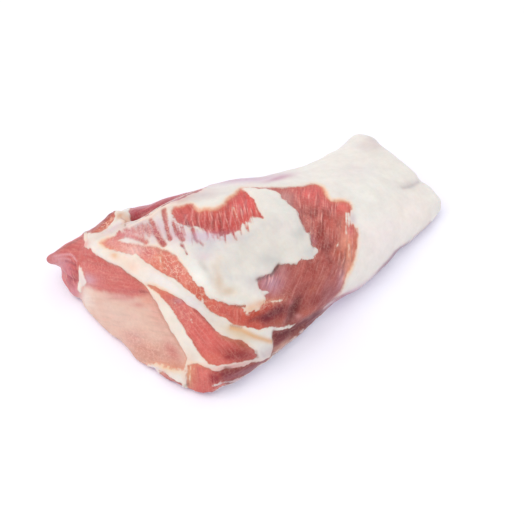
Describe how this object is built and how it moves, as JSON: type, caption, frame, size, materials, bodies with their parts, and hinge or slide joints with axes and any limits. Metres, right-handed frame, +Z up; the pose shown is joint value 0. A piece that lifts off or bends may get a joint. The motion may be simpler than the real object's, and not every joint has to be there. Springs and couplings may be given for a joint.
{
  "type": "boneless pork loin",
  "caption": "Raw boneless pork loin joint with a white fat cap, bared red meat, and a fresh cut at its broad end; it lies flat.",
  "frame": {"origin": "middle of the flat underside, on the surface that the joint lies on", "axes": "+X along the joint's length, from its broad cut end to its thin fat-covered end; +Y towards the chine side; +Z up"},
  "size_m": [0.3029, 0.1829, 0.077],
  "materials": {
    "raw_pork": "moist raw meat, pink to red, under a warm white fat cap"
  },
  "bodies": {
    "root": {"pork_loin": "raw_pork"}
  },
  "joints": []
}
